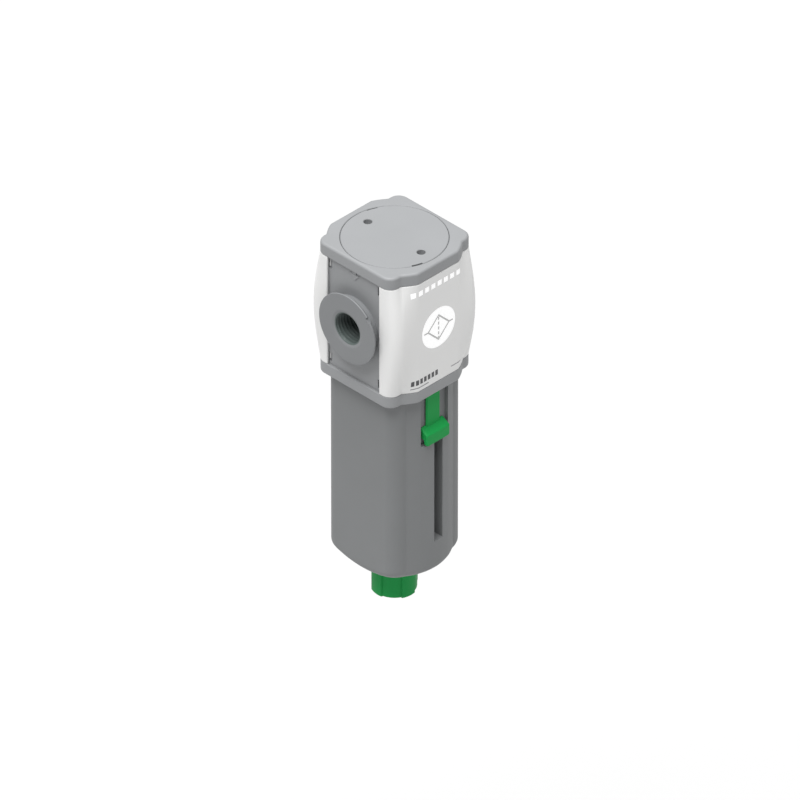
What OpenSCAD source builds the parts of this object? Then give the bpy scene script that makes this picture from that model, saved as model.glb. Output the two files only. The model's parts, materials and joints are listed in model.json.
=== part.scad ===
// Modular compressed-air filter.
// A head with two threaded ports carries clip-on covers, a top plug and the filter insert.
// A clear bowl hangs below it in a bayonet guard with a sliding latch and a turn-knob drain.
// Origin: centre of the inlet port's face. +X is the flow direction, -Y the front, +Z up.

/* [Head] */
// Distance between the two port faces
port_span = 46; // [45:0.5:48]
// Width of the head across the port sides
head_w = 40; // [40:0.5:41]
// Depth of the head from front to back, at the middle of the bowed sides
head_d = 42.4; // [42:0.1:43]
// Height of the head
head_h = 54; // [54:0.5:55]
// Depth of the head at its four corner noses
nose_d = 36; // [35:0.5:37]
// Radius of the corner noses
nose_r = 4; // [3:0.5:4.5]
// Radius of the bowed front and back of the end plates
bow_r = 23.3; // [23:0.1:23.8]
// Thickness of the end plates above and below the covers
plate_t = 4.7; // [4.5:0.1:5]

/* [Covers] */
// Wall of a cover at the front
cover_wall = 1.8; // [1.5:0.1:2]
// Distance of a cover's edges from the middle plane
cover_edge = 12.45; // [12:0.05:13]
// Corner radius of the covers at mid height
cover_r_mid = 4; // [3.5:0.1:4.5]
// Corner radius of the covers at their top and bottom edges
cover_r_end = 8.5; // [7:0.1:8.8]

/* [Ports] */
// Radius of the tapped hole, as drilled for a G1/4 thread
thread_r = 5.9; // [5.8:0.05:6]
// Length of the tapped insert
insert_len = 11; // [11:0.5:11.5]
// Radius of the coupling flange
flange_r = 13.4; // [13:0.1:13.6]
// Thickness of the coupling flange
flange_t = 1.5; // [1.2:0.1:1.6]

/* [Guard] */
// Width of the guard across the port sides
guard_w = 33.6; // [33:0.1:34]
// Depth of the guard at its corner noses
guard_nose_d = 33.6; // [33:0.1:34]
// Radius of the guard's corner noses
guard_nose_r = 5; // [4:0.5:5.5]
// Radius of the guard's bowed front and back
guard_bow_r = 20.3; // [20.2:0.1:20.5]
// Radius of the guard's domed bottom
dome_r = 42; // [41:0.5:43]
// Height of the dome's lowest point below the port axis
dome_drop = 106.3; // [106:0.1:106.5]

/* [Drain] */
// Radius of the knob over its grip pads
knob_r = 8.4; // [8.2:0.1:8.5]
// Height of the knob's lower face below the port axis
knob_drop = 118.8; // [118:0.1:120]
// Angle between the front and the nearest grip pad
knob_phase = -7.5; // [-45:0.5:45]

/* [Hidden] */

$fn = 96;
eps = 0.01;
// Farther out than any surface of the filter
beyond = 40;

grey = [0.56, 0.57, 0.58];
guard_grey = [0.5, 0.51, 0.52];
cover_white = [0.86, 0.86, 0.85];
green = [0.1, 0.55, 0.27];
rubber = [0.08, 0.08, 0.09];
steel = [0.7, 0.7, 0.72];

// Heights, with z = 0 on the port axis
head_top = head_h / 2;
head_base = -head_h / 2;
cover_half = head_h / 2 - plate_t;

// The block that the covers clip round
core_w = head_w - 2;
core_nose_d = 34;
core_nose_r = 5;
core_bow_r = head_d / 2 - cover_wall - 0.2;
hook_z = 19.2;
hook_size = [1.2, 1, 3];
hook_inset = 0.2;
notch_size = [1.6, 1.9, 3.6];
notch_inset = 0.55;
core_pocket_size = [8, 5];
core_pocket_x = 5;
core_pocket_z = [[-14, -3], [2, 19]];

// Raised arrow on a port side, pointing down at the port
arrow_z = 20.6;
arrow_half = 2.6;
arrow_stem_half = 1;
arrow_tip = -2.4;
arrow_wing = 0.3;
arrow_end = 1.5;
arrow_t = 1;

// Top plug and its seat
plug_r = 18.5;
plug_gap = 0.15;
plug_t = 3;
plug_spigot_r = 13.9;
plug_floor = 12;
plug_spigot_end = 16;
spanner_hole_r = 1.5;
spanner_hole_pitch = 12.8;
spanner_hole_depth = 2.6;
plug_slit_angle = 70;
plug_slit_size = [1, 4, 2.4];
plug_cup_r = 11.5;
plug_groove_z = [18, 20];

// O-rings of the top plug and the port inserts, and their grooves
groove_depth = 1.4;
oring_inset = 0.65;
plug_oring_wire = 0.68;
insert_oring_wire = 0.67;

// Port inserts
seat_r = 8.6;
port_neck_r = 11.3;
mouth_r = 6.2;
mouth_depth = 0.5;
passage_r = 5;
insert_groove_x = [-8.8, -6.8];
flange_rim_t = 0.6;
flange_notch_angle = 50;
flange_notch_size = [2, 1.6];
// The inlet passage stops short of the outlet riser and drops to the annulus
inlet_passage_stop = 7;
drop_x = -8.8;
drop_r = 2.8;
drop_h = 8;

// Bayonet between the head and the guard
socket_r = 17.4;
socket_top = -16.8;
seal_bore_r = 14.8;
seal_bore_top = -11;
annulus_r = 11.8;
annulus_top = -6;
boss_r = 6;
boss_end = -16;
riser_r = 3.6;
lug_angles = [90, 210, 330];
lug_sweep = 28;
head_lug_r = 16;
head_lug_top = head_base + 2.3;
// Angle by which the guard turns to bring its lugs clear of the head's
turn = 30;

// Bowl
bowl_r = 14;
bowl_bore_r = 12.2;
bowl_neck_r = 14.6;
bowl_top = -11.6;
bowl_flange_r = 15.6;
bowl_flange_z = [-18.6, -17.1];
bowl_dome_r = dome_r - 3.5;
bowl_floor_z = -99;
bowl_base_z = -101.5;
bowl_groove_z = [-15.2, -13.2];
bowl_groove_depth = 1.35;
bowl_oring_inset = 0.6;
bowl_oring_wire = 0.72;

// Guard
guard_top = head_base - 0.3;
guard_bore_r = 14.3;
guard_neck_r = 15.8;
guard_lug_r = 17.2;
guard_lug_z = [-24.4, -22];
guard_wall = 2;
dome_centre = dome_r - dome_drop;
guard_hole_r = 8.9;
sight_slot_w = 4.2;
sight_slot_x = 1;
sight_slot_z = [-89.6, -47];

// Latch and its channel in the guard
latch_travel = 2.5;
channel_half = 6.5;
channel_floor = 17.8;
channel_end = -48;
strip_half = 3.35;
strip_front = 18.8;
strip_back = 17.9;
tongue_top = -24.8;
button_half = 5.5;
button_front = 21.2;
button_z = [-47.5, -40.8];
button_root = 4.4;
// Fall of the button's top towards the front
button_fall = 2.2;
tab_half = 0.9;
tab_z = [-31, -29.8];
tab_back = 15.9;
tab_foot_half = 1.9;
tab_foot_front = 16.8;
pocket_half = 1.1;
pocket_z = [-41, -29.5];
pocket_back = 15.7;
pocket_foot_half = 2.2;
pocket_foot_front = 17.1;
tongue_groove_r = [17.3, 19.9];
tongue_groove_top = -24.2;

// Filter insert
post_r = 3.5;
post_bore_r = 2.4;
post_z = [-60.5, -9.5];
post_blind = 6;
post_hole_r = 0.9;
post_hole_top = -27;
post_hole_pitch = 5.5;
deflector_disc_z = [-20, -19];
deflector_disc_r = 9;
hub_r = 7.4;
hub_top = -13;
rim_r = [10.9, 11.7];
rim_z = [-18.6, -14.4];
vanes = 10;
vane_size = [4.2, 0.8, 5];
vane_lean = 38;
element_r = [5.2, 8.6];
element_z = [-54, -21];
seal_t = 1;
baffle_r = 11.2;
baffle_t = 1.5;
baffle_skirt_t = 1.2;
baffle_skirt_h = 6;
nut_z = [-59.7, -56.6];
nut_corner_r = 6.4;

// Drain
drain_tube_r = 3.9;
drain_end = -114;
drain_flange_r = 6.4;
drain_flange_z = [-97.8, -96];
spring_chamber_r = 3;
spring_chamber_top = -99;
drain_pin_z = -110.2;
drain_pin_r = 0.6;
drain_pin_len = 9.8;
drain_pin_play = 0.8;
drain_lift = 1.5;
drain_oring_r = 5.1;
drain_oring_wire = 0.6;
drain_nut_corner_r = 6.3;
drain_nut_t = 2.4;
clip_r = 5.4;
clip_mouth_half = 2.4;
clip_z = [-113.2, -112.4];
clip_groove_r = 3.3;
knob_top = -104.2;
knob_web_z = [-112.2, -107];
knob_cup_r = 6.7;
knob_grip = 0.6;
knob_pad_sweep = 39;
cam_r = 5.2;
cam_floor = drain_pin_z - drain_pin_r - 0.3;
cam_turn = 90;
// Half the angle that the cross pin needs on the cam, with room to spare
cam_pin_half = 13;
cam_steps = 6;
stem_r = 1.5;
stem_collar_z = [-108, -107];
stem_head_z = [-95.1, -93.4];
stem_head_r = 3.6;
stem_end = -115.5;
drain_seal_r = 3.3;

// Springs: coil radius, wire radius and number of turns
latch_spring_size = [0.66, 0.14, 9];
drain_spring_size = [2.25, 0.3, 7];

// ---------- shared shapes ----------

// Moves a part drawn round the vertical axis to the row frame
module place() translate([port_span / 2, 0, 0]) children();

module rounded_rect(w, d, r) {
    square([w - 2 * r, d], center = true);
    square([w, d - 2 * r], center = true);
    for (sx = [-1, 1], sy = [-1, 1])
        translate([sx * (w / 2 - r), sy * (d / 2 - r)]) circle(r);
}

// Square with corner noses whose front and back bow outwards
module bowed_outline(w, d, nose, r, bow) {
    rounded_rect(w, nose, r);
    intersection() {
        circle(bow);
        square([w, d], center = true);
    }
}

// Flat ring between two heights
module ring(r_out, r_in, z0, z1) translate([0, 0, z0]) difference() {
    cylinder(r = r_out, h = z1 - z0);
    translate([0, 0, -1]) cylinder(r = r_in, h = z1 - z0 + 2);
}

module disc(r, z0, z1) translate([0, 0, z0]) cylinder(r = r, h = z1 - z0);

// Wedge of a sweep under 180 degrees, centred on an angle
module wedge(angle, sweep, r, z0, z1) translate([0, 0, z0]) linear_extrude(z1 - z0)
    polygon([[0, 0], for (a = [angle - sweep / 2, angle, angle + sweep / 2])
        2 * r * [cos(a), sin(a)]]);

module torus(big_r, wire_r, z = 0) translate([0, 0, z])
    rotate_extrude() translate([big_r, 0]) circle(wire_r, $fn = 32);

// Turns a shape drawn along +Z so that it runs along +X, from x = 0
module along_x() rotate([0, 90, 0]) children();

module box(x, y, z) translate([x[0], y[0], z[0]])
    cube([x[1] - x[0], y[1] - y[0], z[1] - z[0]]);

// Compression spring with closed ends, swept as one tube
module spring(size, z0, z1) {
    coil_r = size[0];
    wire_r = size[1];
    turns = size[2];
    sides = 6;
    per_turn = 14;
    rings = turns * per_turn;
    rise = z1 - z0 - 2 * wire_r;
    // The first and last turns are closed, and the pitch is even between them
    closed = 2.2 * wire_r;
    function lift(u) = u < 1 ? closed * u
        : u > turns - 1 ? rise - closed * (turns - u)
        : closed + (rise - 2 * closed) * (u - 1) / (turns - 2);
    points = [for (i = [0:rings]) let (u = i / per_turn, a = 360 * u)
        for (k = [0:sides - 1]) let (b = 360 * k / sides, r = coil_r + wire_r * cos(b))
            [r * cos(a), r * sin(a), z0 + wire_r + lift(u) + wire_r * sin(b)]];
    walls = [for (i = [0:rings - 1], k = [0:sides - 1]) let (n = (k + 1) % sides, p = i * sides)
        each [[p + k, p + sides + k, p + sides + n], [p + k, p + sides + n, p + n]]];
    caps = [for (k = [1:sides - 2], p = [0, rings * sides])
        p == 0 ? [0, k, k + 1] : [p, p + k + 1, p + k]];
    polyhedron(points, concat(walls, caps), convexity = 10);
}

// ---------- head ----------

module end_plate(z) translate([0, 0, z]) linear_extrude(plate_t)
    bowed_outline(head_w, head_d, nose_d, nose_r, bow_r);

// Recesses on the port sides that take the covers' hooks
module hook_notches() for (sx = [-1, 1], sy = [-1, 1], sz = [-1, 1])
    translate([sx * core_w / 2, sy * (cover_edge - notch_inset), sz * hook_z])
        cube(notch_size, center = true);

// Cored-out pockets behind the covers
module core_pockets() for (sx = [-1, 1], sy = [-1, 1], z = core_pocket_z)
    translate([sx * core_pocket_x, sy * core_bow_r, (z[0] + z[1]) / 2])
        cube([core_pocket_size[0], core_pocket_size[1], z[1] - z[0]], center = true);

module port_arrow() translate([0, 0, arrow_z]) rotate([90, 0, -90])
    linear_extrude(arrow_t, center = true) polygon([
        [-arrow_half, arrow_wing], [0, arrow_tip], [arrow_half, arrow_wing],
        [arrow_stem_half, arrow_wing], [arrow_stem_half, arrow_end],
        [-arrow_stem_half, arrow_end], [-arrow_stem_half, arrow_wing]]);

module bayonet_socket() {
    disc(head_lug_r, head_base - 1, socket_top);
    disc(socket_r, head_lug_top, socket_top);
    difference() {
        disc(socket_r, head_base - 1, head_lug_top + eps);
        for (a = lug_angles) wedge(a, lug_sweep, socket_r, head_base - 2, head_lug_top + 1);
    }
}

// Arc-shaped groove in which the latch's tongue swings as the guard turns
module tongue_groove() {
    half_angle = asin(strip_half / strip_back) + 1.5;
    intersection() {
        ring(tongue_groove_r[1], tongue_groove_r[0], head_base - 1, tongue_groove_top);
        wedge(-90 + turn / 2, turn + 2 * half_angle, socket_r, head_base - 2, 0);
    }
}

module port_bores() for (side = [-1, 1]) {
    inner = side < 0 ? inlet_passage_stop : 0;
    rotate([0, 0, side < 0 ? 180 : 0]) {
        translate([port_span / 2 - insert_len, 0, 0])
            along_x() cylinder(r = seat_r + 0.05, h = port_span);
        translate([inner, 0, 0]) along_x() cylinder(r = passage_r, h = port_span / 2 - inner);
    }
}

module head_body() color(grey) place() {
    difference() {
        union() {
            end_plate(head_top - plate_t);
            end_plate(head_base);
            translate([0, 0, -cover_half - eps]) linear_extrude(2 * cover_half + 2 * eps)
                bowed_outline(core_w, 2 * core_bow_r, core_nose_d, core_nose_r, core_bow_r);
            for (side = [-1, 1]) translate([side * core_w / 2, 0, 0]) port_arrow();
        }
        disc(plug_r + plug_gap, head_top - plug_t, head_top + 1);
        disc(plug_spigot_r + 0.1, plug_floor, head_top);
        bayonet_socket();
        tongue_groove();
        disc(seal_bore_r, socket_top - eps, seal_bore_top);
        ring(annulus_r, boss_r, seal_bore_top - eps, annulus_top);
        translate([drop_x, 0, -drop_h]) cylinder(r = drop_r, h = drop_h);
        port_bores();
        disc(riser_r, boss_end - 1, 0);
        hook_notches();
        core_pockets();
    }
    ring(boss_r, riser_r, boss_end, seal_bore_top + 1);
}

// ---------- covers ----------

// Slice of a barrel at a height, drawn in from the head's width and depth by the given walls
module cover_slice(z, side_wall, front_wall) {
    share = pow(z / cover_half, 2);
    r = cover_r_mid + (cover_r_end - cover_r_mid) * share - side_wall;
    x = head_w / 2 - side_wall - r;
    y = head_d / 2 - front_wall - r;
    translate([0, 0, z - 0.05]) linear_extrude(0.1)
        hull() for (sx = [-1, 1], sy = [-1, 1])
            translate([sx * x, sy * y]) circle(r, $fn = 32);
}

// Block with barrel-shaped corners from which the covers are cut
module cover_barrel(side_wall, front_wall) hull() {
    for (step = [-3:3]) cover_slice(step / 3 * (cover_half - 0.1), side_wall, front_wall);
}

module cover(sy) color(cover_white) place() {
    difference() {
        intersection() {
            cover_barrel(0, 0);
            box([-beyond, beyond], sy > 0 ? [cover_edge, beyond] : [-beyond, -cover_edge],
                [-beyond, beyond]);
        }
        cover_barrel((head_w - core_w) / 2 - 0.05, cover_wall);
        // Lets the inner barrel run out through the open top and bottom
        for (side = [-1, 1]) translate([0, 0, side * cover_half]) linear_extrude(0.4, center = true)
            bowed_outline(core_w, 2 * core_bow_r, core_nose_d, core_nose_r, core_bow_r);
    }
    for (sx = [-1, 1], sz = [-1, 1]) cover_hook(sx, sy, sz);
}

// Hook at a cover's edge, standing in a notch of the head
module cover_hook(sx, sy, sz)
    translate([sx * (core_w / 2 - 0.05), sy * (cover_edge - hook_inset), sz * hook_z])
        cube(hook_size, center = true);

module front_cover() cover(-1);
module rear_cover() cover(1);

// ---------- top plug ----------

module top_plug() color(grey) place() difference() {
    union() {
        disc(plug_r, head_top - plug_t, head_top);
        disc(plug_spigot_r, plug_spigot_end, head_top - plug_t + eps);
    }
    for (sy = [-1, 1]) translate([0, sy * spanner_hole_pitch, head_top - spanner_hole_depth])
        cylinder(r = spanner_hole_r, h = spanner_hole_depth + 1);
    for (a = [plug_slit_angle, plug_slit_angle + 180]) rotate([0, 0, a])
        translate([plug_r, 0, head_top]) cube(plug_slit_size, center = true);
    disc(plug_cup_r, plug_spigot_end - 1, head_top - plug_t - 1);
    ring(plug_spigot_r + 1, plug_spigot_r - groove_depth, plug_groove_z[0], plug_groove_z[1]);
}

module top_plug_oring() color(rubber) place()
    torus(plug_spigot_r - oring_inset, plug_oring_wire, (plug_groove_z[0] + plug_groove_z[1]) / 2);

// ---------- port inserts ----------

// Insert drawn along +X with its face at x = 0 and its body towards -X.
// The back of its flange tapers for a coupling clamp.
module insert() difference() {
    taper = flange_t - flange_rim_t;
    union() {
        translate([-flange_rim_t, 0, 0]) along_x() cylinder(r = flange_r, h = flange_rim_t);
        translate([-flange_t, 0, 0]) along_x()
            cylinder(r1 = flange_r - taper, r2 = flange_r, h = taper + eps);
        translate([-port_span / 2 + core_w / 2, 0, 0])
            along_x() cylinder(r = port_neck_r, h = (port_span - core_w) / 2 - flange_t + eps);
        translate([-insert_len, 0, 0]) along_x() cylinder(r = seat_r, h = insert_len - 1);
    }
    translate([-insert_len - 1, 0, 0]) along_x() cylinder(r = thread_r, h = insert_len + 2);
    translate([-mouth_depth, 0, 0])
        along_x() cylinder(r1 = thread_r, r2 = mouth_r + 0.2, h = mouth_depth + 0.2);
    along_x() ring(seat_r + 1, seat_r - groove_depth, insert_groove_x[0], insert_groove_x[1]);
    rotate([flange_notch_angle, 0, 0]) translate([-flange_t / 2, 0, flange_r])
        cube([flange_t + 1, flange_notch_size[0], flange_notch_size[1]], center = true);
}

module insert_oring() along_x()
    torus(seat_r - oring_inset, insert_oring_wire, (insert_groove_x[0] + insert_groove_x[1]) / 2);

module inlet_insert() color(grey) mirror([1, 0, 0]) insert();
module inlet_insert_oring() color(rubber) mirror([1, 0, 0]) insert_oring();
module outlet_insert() color(grey) translate([port_span, 0, 0]) insert();
module outlet_insert_oring() color(rubber) translate([port_span, 0, 0]) insert_oring();

// ---------- filter insert ----------

// Slanted vane between the hub and the rim, leaning along its circle
module vane(angle) rotate([0, 0, angle])
    translate([(hub_r + rim_r[0]) / 2, 0, (rim_z[0] + rim_z[1]) / 2]) rotate([vane_lean, 0, 0])
        cube(vane_size, center = true);

module deflector() color("white") place() {
    ring(hub_r, boss_r + 0.1, deflector_disc_z[1] - eps, hub_top);
    ring(deflector_disc_r, riser_r, deflector_disc_z[0], deflector_disc_z[1]);
    ring(rim_r[1], rim_r[0], rim_z[0], rim_z[1]);
    intersection() {
        union() for (i = [1:vanes]) vane(360 * i / vanes);
        ring(rim_r[0] + 0.3, hub_r - 0.2, rim_z[0], rim_z[1]);
    }
}

module element_post() color("white") place() difference() {
    union() {
        disc(post_r, post_z[0], post_z[1]);
        ring(boss_r - 0.6, post_r - eps, boss_end - 2, boss_end - 0.05);
    }
    disc(post_bore_r, post_z[0] + post_blind, post_z[1] + 1);
    for (row = [0:4], a = [0, 90]) translate([0, 0, post_hole_top - row * post_hole_pitch])
        rotate([90, 0, a]) cylinder(r = post_hole_r, h = 4 * post_r, center = true);
}

module element_top_seal() color(rubber) place()
    ring(element_r[1], post_r + 0.1, element_z[1], deflector_disc_z[0]);

module filter_element() color([0.95, 0.95, 0.92]) place()
    ring(element_r[1], element_r[0], element_z[0], element_z[1]);

module element_bottom_seal() color(rubber) place()
    ring(element_r[1], post_r + 0.1, element_z[0] - seal_t, element_z[0]);

module baffle() color("white") place() {
    top = element_z[0] - seal_t;
    ring(baffle_r, post_r + 0.1, top - baffle_t, top);
    ring(baffle_r, baffle_r - baffle_skirt_t, top - baffle_skirt_h, top - baffle_t + eps);
}

module element_nut() color(steel) place() translate([0, 0, nut_z[0]]) difference() {
    cylinder(r = nut_corner_r, h = nut_z[1] - nut_z[0], $fn = 6);
    translate([0, 0, -1]) cylinder(r = post_r + 0.05, h = nut_z[1] - nut_z[0] + 2);
}

// ---------- bowl ----------

module bowl() color([0.75, 0.8, 0.82, 0.5]) place() difference() {
    union() {
        intersection() {
            disc(bowl_r, bowl_base_z, bowl_flange_z[0] + eps);
            union() {
                translate([0, 0, dome_centre]) sphere(r = bowl_dome_r);
                disc(bowl_r + 1, dome_centre, 0);
            }
        }
        disc(bowl_flange_r, bowl_flange_z[0], bowl_flange_z[1]);
        disc(bowl_neck_r, bowl_flange_z[1] - eps, bowl_top);
    }
    intersection() {
        disc(bowl_bore_r, bowl_floor_z, 0);
        union() {
            translate([0, 0, dome_centre]) sphere(r = bowl_dome_r - guard_wall);
            disc(bowl_bore_r + 1, dome_centre, 0);
        }
    }
    disc(drain_tube_r + 0.1, bowl_base_z - 1, bowl_floor_z + 1);
    ring(bowl_neck_r + 1, bowl_neck_r - bowl_groove_depth, bowl_groove_z[0], bowl_groove_z[1]);
}

module bowl_oring() color(rubber) place()
    torus(bowl_neck_r - bowl_oring_inset, bowl_oring_wire, (bowl_groove_z[0] + bowl_groove_z[1]) / 2);

// ---------- guard ----------

// Upright block under the head with a domed bottom
module guard_shell() intersection() {
    translate([0, 0, -dome_drop - 1]) linear_extrude(dome_drop + 1 + guard_top)
        bowed_outline(guard_w, 2 * guard_bow_r, guard_nose_d, guard_nose_r, guard_bow_r);
    union() {
        translate([0, 0, dome_centre]) sphere(r = dome_r);
        disc(dome_r, dome_centre, 0);
    }
}

module guard_cavity() {
    disc(guard_bore_r, dome_centre, 0);
    intersection() {
        disc(guard_bore_r, -dome_drop, dome_centre + eps);
        translate([0, 0, dome_centre]) sphere(r = dome_r - guard_wall);
    }
    disc(guard_hole_r, -dome_drop - 1, dome_centre);
}

module bowl_guard() color(guard_grey) place() difference() {
    union() {
        guard_shell();
        disc(guard_neck_r, guard_top - eps, bowl_flange_z[0]);
        intersection() {
            disc(guard_lug_r, guard_lug_z[0], guard_lug_z[1]);
            union() for (a = lug_angles)
                wedge(a, lug_sweep - 1, guard_lug_r, guard_lug_z[0] - 1, guard_lug_z[1] + 1);
        }
    }
    guard_cavity();
    box([-channel_half, channel_half], [-beyond, -channel_floor], [channel_end, guard_top + 1]);
    box([-pocket_half, pocket_half], [-channel_floor - 1, -pocket_back], pocket_z);
    box([-pocket_foot_half, pocket_foot_half], [-pocket_foot_front, -pocket_back],
        [tab_z[0] - latch_travel - 0.4, pocket_z[1]]);
    box([sight_slot_x - sight_slot_w / 2, sight_slot_x + sight_slot_w / 2],
        [-beyond, -guard_bore_r + 1], sight_slot_z);
}

// ---------- latch ----------

// Takes the sloping top off the button
module button_slope() {
    run = button_front - strip_back;
    translate([0, 0, button_z[1]]) rotate([90, 0, 90])
        linear_extrude(2 * button_half + 2, center = true)
            polygon([[-strip_back, 0], [-strip_back - 2 * run, -2 * button_fall],
                [-strip_back - 2 * run, 1], [-strip_back, 1]]);
}

// The lower button rides on the bowed guard, and its root reaches into the channel
module latch() color(green) place() {
    box([-strip_half, strip_half], [-strip_front, -strip_back],
        [button_z[1] - button_root, tongue_top]);
    box([-tab_half, tab_half], [-strip_back - eps, -tab_back], tab_z);
    box([-tab_foot_half, tab_foot_half], [-tab_foot_front, -tab_back], tab_z);
    difference() {
        box([-button_half, button_half], [-button_front, -strip_back],
            [button_z[1] - button_root, button_z[1]]);
        button_slope();
    }
    difference() {
        box([-button_half, button_half], [-button_front, -strip_back],
            [button_z[0], button_z[1] - button_root + eps]);
        disc(guard_bow_r + 0.3, button_z[0] - 1, button_z[1] - button_root);
    }
}

module latch_spring() color(steel) place()
    translate([0, -(channel_floor + pocket_back) / 2 + 0.05, 0])
        spring(latch_spring_size, pocket_z[0], tab_z[0]);

// ---------- drain ----------

module drain_body() color("white") place() difference() {
    union() {
        disc(drain_tube_r, drain_end, drain_flange_z[1] - 0.1);
        disc(drain_flange_r, drain_flange_z[0], drain_flange_z[1]);
    }
    disc(stem_r + 0.2, drain_end - 1, 0);
    disc(spring_chamber_r, drain_end - 1, spring_chamber_top);
    ring(drain_tube_r + 1, clip_groove_r, clip_z[0], clip_z[1]);
    box([-drain_pin_r - 0.1, drain_pin_r + 0.1], [-10, 10],
        [drain_pin_z - drain_pin_play, drain_pin_z + drain_lift + drain_pin_play]);
}

module drain_oring() color(rubber) place()
    torus(drain_oring_r, drain_oring_wire, (bowl_floor_z + drain_flange_z[0]) / 2);

module drain_nut() color(steel) place() difference() {
    translate([0, 0, bowl_base_z - drain_nut_t])
        cylinder(r = drain_nut_corner_r, h = drain_nut_t, $fn = 6);
    disc(drain_tube_r + 0.05, bowl_base_z - 3, bowl_base_z + 1);
}

module drain_clip() color(steel) place() difference() {
    ring(clip_r, clip_groove_r + 0.05, clip_z[0] + 0.05, clip_z[1] - 0.05);
    box([-clip_mouth_half, clip_mouth_half], [0, clip_r + 1], [clip_z[0] - 1, clip_z[1] + 1]);
}

module drain_spring() color(steel) place()
    spring(drain_spring_size, stem_collar_z[1], spring_chamber_top);

module drain_stem() color("white") place() difference() {
    union() {
        disc(stem_r, stem_end, stem_head_z[1]);
        disc(spring_chamber_r - 0.15, stem_collar_z[0], stem_collar_z[1]);
        disc(stem_head_r, stem_head_z[0], stem_head_z[1]);
    }
    translate([0, 0, drain_pin_z]) rotate([90, 0, 0])
        cylinder(r = drain_pin_r + 0.02, h = 10, center = true);
}

module drain_seal() color(rubber) place()
    ring(drain_seal_r, stem_r + 0.02, drain_flange_z[1] + 0.1, stem_head_z[0]);

module drain_cross_pin() color(steel) place() translate([0, 0, drain_pin_z]) rotate([90, 0, 0])
    cylinder(r = drain_pin_r, h = drain_pin_len, center = true);

// Body of the knob with four grip pads, cupped above and below a web
module knob_shell() difference() {
    union() {
        disc(knob_r - knob_grip, -knob_drop, knob_top);
        intersection() {
            disc(knob_r, -knob_drop, knob_top);
            union() for (i = [0:3])
                wedge(-90 + knob_phase + 90 * i, knob_pad_sweep, knob_r, -knob_drop - 1,
                    knob_top + 1);
        }
    }
    disc(knob_cup_r, knob_web_z[1], knob_top + 1);
    disc(knob_cup_r - 0.2, -knob_drop - 1, knob_web_z[0]);
    disc(cam_r, cam_floor, knob_top);
}

// Two-start stepped cam that lifts the cross pin as the knob turns, with its end stops
module knob_cam() {
    step = (cam_turn - cam_pin_half) / cam_steps;
    rise = drain_lift * step / cam_turn;
    intersection() {
        disc(cam_r + 0.1, cam_floor - eps, knob_web_z[1]);
        for (start = [0, 180]) {
            for (i = [1:cam_steps])
                wedge(start + cam_turn - cam_pin_half - (i + 0.5) * step, step + 0.1, cam_r,
                    cam_floor - eps, cam_floor + i * rise);
            wedge(start - cam_turn / 2, cam_turn - 2 * cam_pin_half, cam_r, cam_floor - eps, 0);
        }
    }
}

module drain_knob() color(green) place() difference() {
    union() {
        knob_shell();
        knob_cam();
    }
    disc(drain_tube_r + 0.06, knob_web_z[0] - 1, knob_top);
}

// ---------- one line per node ----------

head_body();
front_cover();
rear_cover();
top_plug();
top_plug_oring();
inlet_insert();
outlet_insert();
inlet_insert_oring();
outlet_insert_oring();
deflector();
element_post();
element_top_seal();
filter_element();
element_bottom_seal();
baffle();
element_nut();
bowl();
bowl_oring();
bowl_guard();
latch();
latch_spring();
drain_body();
drain_oring();
drain_nut();
drain_clip();
drain_spring();
drain_stem();
drain_seal();
drain_cross_pin();
drain_knob();
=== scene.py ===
"""Modular compressed-air filter, drawn for the eye over its fixed engineering frame.

Shapes are worked out in millimetres about the filter's vertical axis, with z = 0 on the port axis,
and are moved to the frame's metres when each piece is made.
"""

import json

import bmesh
import bpy
import numpy as np
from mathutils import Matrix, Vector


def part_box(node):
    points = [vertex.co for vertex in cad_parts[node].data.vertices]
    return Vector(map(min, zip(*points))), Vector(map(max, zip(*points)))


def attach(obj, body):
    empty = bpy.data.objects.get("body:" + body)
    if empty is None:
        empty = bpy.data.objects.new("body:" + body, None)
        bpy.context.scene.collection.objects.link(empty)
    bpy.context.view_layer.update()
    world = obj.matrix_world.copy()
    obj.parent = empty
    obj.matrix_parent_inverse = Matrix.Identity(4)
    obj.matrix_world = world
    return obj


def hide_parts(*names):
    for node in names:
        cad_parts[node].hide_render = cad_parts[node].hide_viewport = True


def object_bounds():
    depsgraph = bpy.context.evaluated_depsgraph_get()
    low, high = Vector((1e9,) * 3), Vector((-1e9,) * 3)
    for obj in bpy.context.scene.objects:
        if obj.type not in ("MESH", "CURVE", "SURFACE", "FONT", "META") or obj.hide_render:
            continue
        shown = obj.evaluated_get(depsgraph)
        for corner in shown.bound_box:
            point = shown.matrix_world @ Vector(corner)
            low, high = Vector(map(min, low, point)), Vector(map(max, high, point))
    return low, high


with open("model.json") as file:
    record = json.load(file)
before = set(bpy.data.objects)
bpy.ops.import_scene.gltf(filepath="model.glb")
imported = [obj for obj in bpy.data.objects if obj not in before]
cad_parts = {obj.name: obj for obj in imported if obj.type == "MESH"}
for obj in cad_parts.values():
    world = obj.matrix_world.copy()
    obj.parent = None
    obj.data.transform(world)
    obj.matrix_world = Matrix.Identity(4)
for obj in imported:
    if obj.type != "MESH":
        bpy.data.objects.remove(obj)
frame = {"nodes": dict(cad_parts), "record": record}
CAD_BOX = [list(corner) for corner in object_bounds()]

bl_info = {
    "name": "Compressed Air Filter",
    "version": (1, 0, 0),
    "blender": (4, 5, 0),
    "location": "3D View > Sidebar > Air Filter",
    "description": "Builds the head, covers, ports, guard, bowl, latch and drain of an air filter",
    "category": "Add Mesh",
}

MM = 0.001
TINY = 1e-9
MERGE_DISTANCE = 2e-6
FULL_TURN = 360
STEP_SWEEP = 0.05
RIM_ANGLE = 50
GRAIN_PER_METRE = 5200
CLOUD_PER_METRE = 60


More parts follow.
